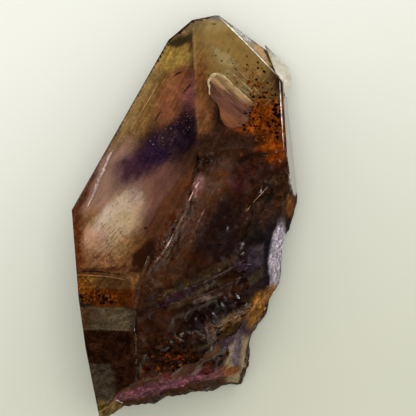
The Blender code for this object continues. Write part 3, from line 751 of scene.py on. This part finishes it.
def skin_material():
    """The thin stained skin on the breaks, which leaves the crystal bare in patches."""
    material, colour, cover = zoned_material("stained skin", millimetres, skin_group())
    tree = material.node_tree
    gaps = noise_at(tree, millimetres(tree), 1.0, 6.0, 0.72)
    edge = maths(tree, "MULTIPLY_ADD", cover, -0.5, 0.72)
    film = between(tree, maths(tree, "SUBTRACT", gaps, edge), -0.12, 0.14, 0.0, 0.94)
    return surfaced(material, 0.75, 0.06, {"Base Color": colour, "Alpha": film})


def floor_material():
    """A pale matt floor with painted light falloff: brighter towards the tip's end and the left."""
    material, tree = new_material("pale floor")
    across, along, height = parts_of(tree, node(tree, "ShaderNodeTexCoord").outputs["Object"])
    share = between(tree, maths(tree, "MULTIPLY_ADD", across, -0.35, along), -0.045, 0.045)
    colour = blended(tree, share, (0.5, 0.505, 0.42, 1), (0.7, 0.705, 0.66, 1))
    return surfaced(material, 0.9, 0.1, {"Base Color": colour})


def add_object(name, mesh, material):
    """A mesh object in the scene, with one material."""
    mesh.materials.clear()
    mesh.materials.append(material)
    made = bpy.data.objects.new(name, mesh)
    bpy.context.scene.collection.objects.link(made)
    return made


def add_ridden(name, mesh, material):
    """A finished piece that rides with the crystal."""
    made = add_object(name, mesh, material)
    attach(made, BODY)
    return made


def add_guide(name, mesh):
    """An object whose modifiers make a mesh."""
    guide = bpy.data.objects.new(name, mesh)
    bpy.context.scene.collection.objects.link(guide)
    return guide


def made_plain(guide):
    """The mesh that an object's modifiers give. The object is removed."""
    graph = bpy.context.evaluated_depsgraph_get()
    mesh = bpy.data.meshes.new_from_object(guide.evaluated_get(graph))
    bpy.data.objects.remove(guide)
    return mesh


def finished(bm, name, smooth=True):
    """A bmesh made into a mesh."""
    mesh = bpy.data.meshes.new(name)
    bm.to_mesh(mesh)
    bm.free()
    if smooth:
        mesh.shade_smooth()
    return mesh


def merged_crystal():
    """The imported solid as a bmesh, its coplanar triangles joined."""
    bm = bmesh.new()
    bm.from_mesh(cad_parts[NODE].data)
    bmesh.ops.remove_doubles(bm, verts=bm.verts, dist=2e-6)
    bmesh.ops.dissolve_limit(bm, angle_limit=math.radians(0.4), verts=bm.verts, edges=bm.edges)
    return bm


def is_broken(face):
    """True for the small faces that make up the broken surfaces."""
    return face.calc_area() < LARGEST_BREAK_CELL


def crystal_mesh(sizes):
    """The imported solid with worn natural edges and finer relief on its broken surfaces."""
    bm = merged_crystal()
    bmesh.ops.triangulate(bm, faces=[face for face in bm.faces if is_broken(face)])
    edges = [edge for edge in bm.edges if all(is_broken(face) for face in edge.link_faces)]
    bmesh.ops.subdivide_edges(bm, edges=edges, cuts=1, use_grid_fill=True)
    mark = bm.verts.layers.float.new("broken")
    for vert in bm.verts:
        vert[mark] = 1.0 if all(is_broken(face) for face in vert.link_faces) else 0.0
    bm.normal_update()
    for vert in bm.verts:
        if vert[mark] > 0:
            relief = noise.fractal(vert.co / MM * 1.4, 0.8, 2.1, 4) - 0.6
            vert.co += vert.normal * relief * sizes.grain
    natural = [
        edge
        for edge in bm.edges
        if len(edge.link_faces) == 2
        and not any(is_broken(face) for face in edge.link_faces)
        and edge.calc_face_angle(0) > math.radians(4)
    ]
    bmesh.ops.bevel(
        bm, geom=natural, offset=sizes.edge / 2, segments=1, affect="EDGES", clamp_overlap=True
    )
    for edge in bm.edges:
        soft = all(is_broken(face) for face in edge.link_faces) and all(vert[mark] for vert in edge.verts)
        edge.smooth = soft and edge.calc_face_angle(0) < math.radians(50)
    for face in bm.faces:
        face.smooth = True
    bmesh.ops.triangulate(bm, faces=[face for face in bm.faces if len(face.verts) > 4])
    return finished(bm, "crystal", smooth=False)


def is_shoulder(face):
    """True for the frosted natural faces at the upper right."""
    middle = face.calc_center_median() / MM
    return middle.x > 13.2 and 17.0 < middle.y < 26.5


def is_right_side(face):
    """True for the faces of the stained side at the right, above the foot."""
    middle = face.calc_center_median() / MM
    wander = 2.4 * noise.noise(middle * 0.45)
    return -13.0 < middle.y < 6.0 and middle.x > 9.2 + max(0.0, middle.y) * 0.8 + wander


def skin_mesh(source):
    """The shoulder and the breaks that face aside or down, lifted a little off the crystal."""
    bm = bmesh.new()
    bm.from_mesh(source)
    mark = bm.verts.layers.float["broken"]
    bm.normal_update()
    moves = [(vert, vert.normal * SKIN_LIFT * MM) for vert in bm.verts]
    facing = {vert: vert.normal.z for vert in bm.verts}
    around = {vert: [edge.other_vert(vert) for edge in vert.link_edges] for vert in bm.verts}
    for turn in range(FACING_ROUNDS):
        facing = {
            vert: (facing[vert] + sum(facing[other] for other in others)) / (1 + len(others))
            for vert, others in around.items()
        }
    bare = []
    for face in bm.faces:
        broken = all(vert[mark] for vert in face.verts)
        aside = sum(facing[vert] for vert in face.verts) / len(face.verts) <= FACES_ASIDE
        if not (is_shoulder(face) or (broken and (aside or is_right_side(face)))):
            bare.append(face)
    bmesh.ops.delete(bm, geom=bare, context="FACES")
    for vert, move in moves:
        if vert.is_valid:
            lifted = vert.co + move
            vert.co = [min(max(value, low), high) for value, low, high in zip(lifted, *CAD_BOX)]
    return finished(bm, "stained skin")


class Solid:
    """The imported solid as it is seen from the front, to place what lies inside it."""

    def __init__(self):
        bm = merged_crystal()
        bm.normal_update()
        bm.faces.ensure_lookup_table()
        self.broken = [is_broken(face) for face in bm.faces]
        self.tree = BVHTree.FromBMesh(bm)
        spots = []
        for edge in bm.edges:
            broken = [is_broken(face) for face in edge.link_faces]
            front = any(face.normal.z > 0.3 for face in edge.link_faces)
            if len(broken) != 2 or all(broken) or not front:
                continue
            if any(broken) or edge.calc_face_angle(0) > math.radians(8):
                one, other = (vert.co for vert in edge.verts)
                parts = 1 + int(edge.calc_length() / (0.3 * MM))
                spots += [one.lerp(other, part / parts) for part in range(parts + 1)]
        self.edges = KDTree(len(spots))
        for number, spot in enumerate(spots):
            self.edges.insert((spot.x, spot.y, 0), number)
        self.edges.balance()
        bm.free()

    def under(self, x, y):
        """The place, the normal and the number of the face that is seen at x, y. In mm."""
        place, normal, face, reach = self.tree.ray_cast(Vector((x, y, HIGH_UP)) * MM, DOWN)
        return place, normal, face

    def beneath(self, x, y, depth):
        """The point seen at x, y through the face above it, at that depth under the face. In mm."""
        place, normal, face = self.under(x, y)
        if place is None:
            return None
        if self.broken[face]:
            return place + DOWN * depth * MM
        ratio = 1 / QUARTZ_IOR
        facing = -normal.dot(DOWN)
        inner = math.sqrt(1 - ratio * ratio * (1 - facing * facing))
        bent = DOWN * ratio + normal * (ratio * facing - inner)
        return place + bent * (depth * MM / inner)

    def front_depth(self, x, y):
        """How deep the growth seen at x, y lies, in mm."""
        place, normal, face = self.under(x, y)
        if place is None:
            return None
        depth = BREAK_DEPTH
        if not self.broken[face]:
            depth = FRONT_DEPTH
            for middle, radius, more in WINDOWS:
                away = math.hypot(x - middle[0], y - middle[1]) / radius
                depth += more * max(0.0, 1 - away * away) ** 2
        spot, number, away = self.edges.find((x * MM, y * MM, 0))
        share = min(1.0, away / MM / EDGE_REACH)
        return EDGE_DEPTH + (depth - EDGE_DEPTH) * share * share * (3 - 2 * share)

    def holds(self, place, margin):
        """True where a place is inside, and at least the margin in mm from the surface."""
        near, normal, face, reach = self.tree.find_nearest(place)
        return (near - place).dot(normal) > 0 and reach > margin * MM

    def cloud_depth(self, place):
        """How deep the cloud lies near a place on the surface, in mm."""
        near, normal, face, reach = self.tree.find_nearest(place)
        if normal.z < 0.5:
            return SIDE_BREAK_DEPTH if self.broken[face] else SIDE_DEPTH
        return CLOUD_DEPTH


def join_grid(bm, grid, longest):
    """Faces between neighbours in a grid, where no two of their corners are too far apart."""
    for i, j in list(grid):
        corners = [(i, j), (i + 1, j), (i + 1, j + 1), (i, j + 1)]
        if all(corner in grid for corner in corners):
            verts = [grid[corner] for corner in corners]
            if max((a.co - b.co).length for a in verts for b in verts) < longest:
                bm.faces.new(verts)
    bmesh.ops.delete(bm, geom=[vert for vert in bm.verts if not vert.link_faces], context="VERTS")


def front_mesh(solid):
    """The growth just under the front faces, as one sheet that keeps where each point is seen."""
    bm = bmesh.new()
    seen = bm.verts.layers.float_vector.new("seen")
    grid = {}
    low, high = (Vector(corner) / MM for corner in CAD_BOX)
    for i in range(1 + int((high.x - low.x) / SHEET_STEP)):
        for j in range(1 + int((high.y - low.y) / SHEET_STEP)):
            x, y = low.x + i * SHEET_STEP, low.y + j * SHEET_STEP
            depth = solid.front_depth(x, y)
            if depth is None:
                continue
            top = solid.under(x, y)[0]
            places = [solid.beneath(x, y, depth)]
            places += [top - Vector((0, 0, drop * MM)) for drop in STRAIGHT_DROPS]
            held = [place for place in places if solid.holds(place, EDGE_DEPTH / 3)]
            if held:
                vert = grid[i, j] = bm.verts.new(held[0])
                vert[seen] = (x, y, 0)
    join_grid(bm, grid, 8 * SHEET_STEP * MM)
    return finished(bm, "front growth")


def phantom_mesh(solid):
    """The phantom's face: rings from its bevelled outline to its middle."""
    outline = spline([*PHANTOM, PHANTOM[0]], 8)[:-1]
    middle = tuple(sum(values) / len(outline) for values in zip(*outline))
    bm = bmesh.new()
    seen = bm.verts.layers.float_vector.new("seen")
    inside = bm.verts.layers.float.new("inside")
    rings = []
    for share in (1.0, 0.96, 0.9, 0.75, 0.55, 0.35, 0.15):
        bevel = 0.35 * max(0.0, (share - 0.9) / 0.1)
        ring = []
        for x, y in outline:
            x, y = middle[0] + (x - middle[0]) * share, middle[1] + (y - middle[1]) * share
            wave = 0.12 * noise.noise(Vector((x, y, 3.0)) * 0.8)
            vert = bm.verts.new(solid.beneath(x, y, PHANTOM_DEPTH + bevel + wave))
            vert[seen] = (x, y, 0)
            vert[inside] = 1 - share
            ring.append(vert)
        rings.append(ring)
    for one, two in zip(rings, rings[1:]):
        for number in range(len(one)):
            bm.faces.new((one[number - 1], one[number], two[number], two[number - 1]))
    bm.faces.new(rings[-1])
    bmesh.ops.recalc_face_normals(bm, faces=bm.faces)
    return finished(bm, "phantom")


def cloud_mesh(source, sizes, solid):
    """A rounded body that follows the crystal's surface from inside."""
    guide = add_guide("cloud guide", source.copy())
    remesh = guide.modifiers.new("rounded", "REMESH")
    remesh.mode = "VOXEL"
    remesh.voxel_size = sizes.voxel
    smooth = guide.modifiers.new("softened", "SMOOTH")
    smooth.factor = 0.5
    smooth.iterations = 3
    bm = bmesh.new()
    bm.from_mesh(made_plain(guide))
    bm.normal_update()
    for vert in bm.verts:
        vert.co -= vert.normal * solid.cloud_depth(vert.co) * MM
    for turn in range(5):
        bmesh.ops.smooth_vert(
            bm, verts=bm.verts, factor=0.5, use_axis_x=True, use_axis_y=True, use_axis_z=True
        )
    return finished(bm, "cloud")


def patch_mesh(name, solid, middle, half, turn, depth):
    """A rippled elliptical sheet seen under the front faces, with how far each point is from its rim."""
    bm = bmesh.new()
    mark = bm.verts.layers.float.new("inside")
    grid = {}
    c, s = math.cos(math.radians(turn)), math.sin(math.radians(turn))
    for i in range(PATCH_STEPS + 1):
        for j in range(PATCH_STEPS + 1):
            u, v = 2 * i / PATCH_STEPS - 1, 2 * j / PATCH_STEPS - 1
            reach = math.hypot(u, v)
            if reach > 1.05:
                continue
            along, across = u * half[0], v * half[1]
            x, y = middle[0] + along * c - across * s, middle[1] + along * s + across * c
            wave = noise.noise(Vector((x, y, depth)) * 0.5) * PATCH_RIPPLE
            place = solid.beneath(x, y, depth + wave)
            if place:
                vert = grid[i, j] = bm.verts.new(place)
                vert[mark] = min(1.0, max(0.0, (1 - reach) / 0.35))
    join_grid(bm, grid, 4 * max(half) / PATCH_STEPS * MM + 0.0006)
    return finished(bm, name)


def spline(points, steps):
    """Points on a smooth curve through the given ones."""
    ends = [points[0], *points, points[-1]]
    made = []
    for corners in zip(ends, ends[1:], ends[2:], ends[3:]):
        for step in range(steps):
            t = step / steps
            weights = (-t + 2 * t**2 - t**3, 2 - 5 * t**2 + 3 * t**3, t + 4 * t**2 - 3 * t**3, t**3 - t**2)
            made.append(tuple(sum(w * v for w, v in zip(weights, values)) / 2 for values in zip(*corners)))
    made.append(points[-1])
    return made


def strand_mesh(bm, solid, points, depth, radius):
    """Adds a thin uneven thread that tapers at both ends and is seen through the given points."""
    line = spline(points, 10)
    places = []
    for number, (x, y) in enumerate(line):
        shift = noise.noise(Vector((x, y, depth)) * 1.1) * radius * 0.5
        place = solid.beneath(x + shift, y - shift, depth)
        if place:
            places.append((number / (len(line) - 1), place))
    if len(places) < 4:
        raise ValueError(f"no face above most of the line through {points}")
    rings = []
    for (share, place), (_, later) in zip(places, places[1:] + places[-2:-1]):
        along = (later - place).normalized()
        side = along.cross(Vector((0, 0, 1))).normalized()
        up = side.cross(along)
        thin = math.sin(math.pi * min(1, max(0, 0.04 + 0.92 * share))) ** 0.6
        wide = radius * thin * (0.7 + 0.6 * noise.noise(place / MM * 1.3)) * MM
        ring = []
        for turn in range(6):
            angle = turn / 6 * 2 * math.pi
            spot = place + side * math.cos(angle) * wide + up * math.sin(angle) * wide * 0.5
            ring.append(bm.verts.new(spot))
        rings.append(ring)
    for one, two in zip(rings, rings[1:]):
        for turn in range(6):
            bm.faces.new((one[turn], one[turn - 1], two[turn - 1], two[turn]))
    bm.faces.new(rings[0])
    bm.faces.new(list(reversed(rings[-1])))


def grain_tree():
    """Scattered Grains: flat grains or long fibres laid over a patch, thinning out to its rim."""
    inputs = (
        ("Geometry", "Geometry", None),
        ("Number", "Float", 100.0),
        ("Smallest", "Float", 0.00003),
        ("Largest", "Float", 0.0002),
        ("Stretch", "Float", 1.0),
        ("Turn", "Float", 0.0),
        ("Stray", "Float", 3.1),
        ("Seed", "Int", 1),
        ("Material", "Material", None),
    )
    tree, given, out = new_group("Scattered Grains", inputs, (("Geometry", "Geometry"),), "GeometryNodeTree")
    patch, seed = given["Geometry"], given["Seed"]

    inside = node(tree, "GeometryNodeInputNamedAttribute", {"Name": "inside"}, data_type="FLOAT").outputs[0]
    area = node(tree, "GeometryNodeInputMeshFaceArea").outputs[0]
    measured = {"Geometry": patch, "Attribute": area}
    total = node(tree, "GeometryNodeAttributeStatistic", measured, domain="FACE").outputs["Sum"]
    each = maths(tree, "DIVIDE", given["Number"], total)
    density = maths(tree, "MULTIPLY", each, maths(tree, "POWER", inside, 0.6))
    strewn = {"Mesh": patch, "Density": density, "Seed": seed}
    points = node(tree, "GeometryNodeDistributePointsOnFaces", strewn).outputs
    normal = points["Normal"]

    chance = node(tree, "FunctionNodeRandomValue", {"Seed": seed}, data_type="FLOAT").outputs[1]
    sizes = {0: maths(tree, "POWER", chance, 2.5), 3: given["Smallest"], 4: given["Largest"]}
    size = node(tree, "ShaderNodeMapRange", sizes).outputs[0]
    widths = {0: (0.6, 0.4, 0.15), 1: (1.1, 1.2, 0.3), "Seed": 7}
    shape = node(tree, "FunctionNodeRandomValue", widths, data_type="FLOAT_VECTOR").outputs[0]
    drawn = node(tree, "ShaderNodeCombineXYZ", {0: given["Stretch"], 1: 1.0, 2: 1.0}).outputs[0]
    scale = vector_maths(tree, "SCALE", vector_maths(tree, "MULTIPLY", shape, drawn), size)

    to_each_side = {2: -1.0, 3: 1.0, "Seed": 11}
    stray = node(tree, "FunctionNodeRandomValue", to_each_side, data_type="FLOAT").outputs[1]
    turn = maths(tree, "MULTIPLY_ADD", stray, given["Stray"], given["Turn"])
    heading = {0: maths(tree, "COSINE", turn), 1: maths(tree, "SINE", turn)}
    along = node(tree, "ShaderNodeCombineXYZ", heading).outputs[0]
    lift = vector_maths(tree, "DOT_PRODUCT", along, normal, output="Value")
    laid = vector_maths(tree, "SUBTRACT", along, vector_maths(tree, "SCALE", normal, lift))
    align = "FunctionNodeAlignRotationToVector"
    aimed = node(tree, align, {"Vector": laid}, axis="X").outputs[0]
    flat = node(tree, align, {"Rotation": aimed, "Vector": normal}, axis="Z", pivot_axis="X").outputs[0]

    grain = node(tree, "GeometryNodeMeshIcoSphere", {"Radius": 1.0, "Subdivisions": 1}).outputs["Mesh"]
    placing = {"Points": points["Points"], "Instance": grain, "Rotation": flat, "Scale": scale}
    placed = node(tree, "GeometryNodeInstanceOnPoints", placing).outputs[0]
    real = node(tree, "GeometryNodeRealizeInstances", {"Geometry": placed}).outputs[0]
    coated = node(tree, "GeometryNodeSetMaterial", {"Geometry": real, "Material": given["Material"]})
    feed(tree, out[0], coated.outputs[0])
    return tree


class CrystalOperator(bpy.types.Operator):
    """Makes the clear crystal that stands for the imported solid"""

    bl_idname = "amethyst.crystal"
    bl_label = "Crystal"

    def execute(self, context):
        sizes = context.scene.amethyst_crystal
        crystal = add_object("crystal", crystal_mesh(sizes), quartz_material(sizes))
        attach(crystal, BODY)
        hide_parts(NODE)
        return {"FINISHED"}


class CloudOperator(bpy.types.Operator):
    """Makes the clouded growth inside the crystal: the sheet under its front and the cloud behind that"""

    bl_idname = "amethyst.cloud"
    bl_label = "Clouded growth"

    def execute(self, context):
        solid = Solid()
        growth_group()
        fibre_group()
        cloud = cloud_mesh(bpy.data.objects["crystal"].data, context.scene.amethyst_cloud, solid)
        add_ridden("clouded_growth", cloud, cloud_material("clouded growth", millimetres, low_smoke=True))
        add_ridden("front_growth", front_mesh(solid), cloud_material("front growth", seen_place))
        add_ridden("phantom", phantom_mesh(solid), phantom_material())
        return {"FINISHED"}


class SkinOperator(bpy.types.Operator):
    """Makes the stained skin on the breaks that face aside or down, and on the frosted shoulder"""

    bl_idname = "amethyst.skin"
    bl_label = "Stained skin"

    def execute(self, context):
        guide = add_guide("skin guide", skin_mesh(bpy.data.objects["crystal"].data))
        thick = guide.modifiers.new("thickness", "SOLIDIFY")
        thick.thickness = SKIN_THICKNESS * MM
        thick.offset = -1
        add_ridden("stained_skin", made_plain(guide), skin_material())
        return {"FINISHED"}


class StrandsOperator(bpy.types.Operator):
    """Makes the healed cracks and growth lines, and the lines of painted highlight, glint and shadow"""

    bl_idname = "amethyst.strands"
    bl_label = "Growth and painted light lines"

    def execute(self, context):
        solid = Solid()
        for kind, (colour, broken_up) in STRAND_KINDS.items():
            bm = bmesh.new()
            for points, depth, radius, own in STRANDS.values():
                if own == kind:
                    strand_mesh(bm, solid, points, depth, radius)
            material = line_material(f"{kind} growth", colour, broken_up)
            add_ridden(f"{kind}_lines", finished(bm, f"{kind} lines"), material)
        return {"FINISHED"}


class VeilsOperator(bpy.types.Operator):
    """Makes the thin veils of fibres, among them the painted glow, highlights and sheen"""

    bl_idname = "amethyst.veils"
    bl_label = "Veils"

    def execute(self, context):
        solid = Solid()
        for name, (middle, half, turn, depth, colour, cover, fibres) in VEILS.items():
            mesh = patch_mesh(name, solid, middle, half, turn, depth)
            add_ridden(name.replace(" ", "_"), mesh, veil_material(name, colour, cover, fibres))
        return {"FINISHED"}


class GrainsOperator(bpy.types.Operator):
    """Strews the dark specks, the flakes, the sparks, which are painted glints, and the fine fibres"""

    bl_idname = "amethyst.grains"
    bl_label = "Specks, sparks and fibres"

    def execute(self, context):
        solid = Solid()
        tree = grain_tree()
        kinds = {kind: grain_material(f"{kind} grains", *colours) for kind, colours in GRAIN_KINDS.items()}
        inputs = {item.name: item.identifier for item in tree.interface.items_tree if item.in_out == "INPUT"}
        for seed, (name, values) in enumerate(GRAINS.items(), 3):
            middle, half, turn, depth, number, smallest, largest, stretch, lie, stray, kind = values
            guide = add_guide(name, patch_mesh(name, solid, middle, half, turn, depth))
            strewn = guide.modifiers.new("strewn", "NODES")
            strewn.node_group = tree
            strewn[inputs["Number"]] = float(number)
            strewn[inputs["Smallest"]] = smallest * MM
            strewn[inputs["Largest"]] = largest * MM
            strewn[inputs["Stretch"]] = float(stretch)
            strewn[inputs["Turn"]] = math.radians(lie)
            strewn[inputs["Stray"]] = math.radians(stray)
            strewn[inputs["Seed"]] = seed
            strewn[inputs["Material"]] = kinds[kind]
            add_ridden(name.replace(" ", "_"), made_plain(guide), kinds[kind])
        return {"FINISHED"}


def area_light(name, place, target, width, height, power, colour):
    """A soft rectangular light that looks at a target and stays out of view."""
    lamp = bpy.data.lights.new(name, "AREA")
    lamp.shape = "RECTANGLE"
    lamp.size = width
    lamp.size_y = height
    lamp.energy = power
    lamp.color = colour
    made = bpy.data.objects.new(name, lamp)
    bpy.context.scene.collection.objects.link(made)
    made.location = place
    made.rotation_euler = (Vector(target) - Vector(place)).to_track_quat("-Z", "Y").to_euler()
    made.visible_camera = False


class StageOperator(bpy.types.Operator):
    """Makes the pale floor, the soft light and the camera"""

    bl_idname = "amethyst.stage"
    bl_label = "Stage"

    def execute(self, context):
        scene = context.scene
        sizes = scene.amethyst_stage
        bm = bmesh.new()
        bmesh.ops.create_grid(bm, x_segments=1, y_segments=1, size=sizes.floor_width / 2)
        bmesh.ops.translate(bm, verts=bm.verts, vec=(0, 0, -FLOOR_GAP))
        floor = add_object("floor", finished(bm, "floor", smooth=False), floor_material())

        world = bpy.data.worlds.new("soft surroundings")
        world.use_nodes = True
        background = world.node_tree.nodes["Background"]
        background.inputs["Color"].default_value = (0.95, 0.96, 0.92, 1)
        background.inputs["Strength"].default_value = sizes.world_strength
        world.cycles_visibility.glossy = False
        scene.world = world

        area_light("overhead", (0, 0.1, 1.1), (0, 0, 0), 0.6, 0.6, 6.0, (1, 0.98, 0.95))
        area_light("left side", (-0.45, 0.092, 0.235), (0, 0.092, 0.02), 0.2, 0.2, 0.022, (1, 0.8, 0.5))
        area_light("beyond the tip", (0, 0.55, 0.31), (0, 0, 0.02), 0.5, 0.08, 0.35, (1, 0.95, 0.85))

        lens = bpy.data.cameras.new("camera")
        lens.sensor_width = 36.0
        lens.lens = lens.sensor_width * CAMERA_HEIGHT / (PHOTO_WIDTH * MM)
        lens.clip_start = 0.01
        lens.clip_end = 10
        camera = bpy.data.objects.new("camera", lens)
        scene.collection.objects.link(camera)
        camera.location = (PHOTO_MIDDLE[0] * MM, PHOTO_MIDDLE[1] * MM, SEEN_HEIGHT + CAMERA_HEIGHT)
        scene.camera = camera

        scene.view_settings.view_transform = "Standard"
        scene.cycles.use_denoising = True
        scene.cycles.max_bounces = 20
        scene.cycles.transmission_bounces = 14
        scene.cycles.diffuse_bounces = 5
        scene.cycles.transparent_max_bounces = 24
        return {"FINISHED"}


OPERATORS = (
    CrystalOperator,
    CloudOperator,
    SkinOperator,
    StrandsOperator,
    VeilsOperator,
    GrainsOperator,
    StageOperator,
)


class AmethystPanel(bpy.types.Panel):
    """Lists the steps that build the amethyst point"""

    bl_idname = "VIEW3D_PT_amethyst"
    bl_label = "Amethyst point"
    bl_space_type = "VIEW_3D"
    bl_region_type = "UI"
    bl_category = "Amethyst"

    def draw(self, context):
        for step in OPERATORS:
            self.layout.operator(step.bl_idname)


SETTINGS = {
    "amethyst_stage": StageSizes,
    "amethyst_crystal": CrystalSizes,
    "amethyst_cloud": CloudSizes,
}
CLASSES = (*SETTINGS.values(), *OPERATORS, AmethystPanel)


def register():
    for made in CLASSES:
        bpy.utils.register_class(made)
    for name, group in SETTINGS.items():
        setattr(bpy.types.Scene, name, bpy.props.PointerProperty(type=group))


def unregister():
    for name in SETTINGS:
        delattr(bpy.types.Scene, name)
    for made in reversed(CLASSES):
        bpy.utils.unregister_class(made)


def main():
    register()
    bpy.ops.amethyst.crystal()
    bpy.ops.amethyst.cloud()
    bpy.ops.amethyst.skin()
    bpy.ops.amethyst.strands()
    bpy.ops.amethyst.veils()
    bpy.ops.amethyst.grains()
    bpy.ops.amethyst.stage()


if __name__ == "__main__":
    main()
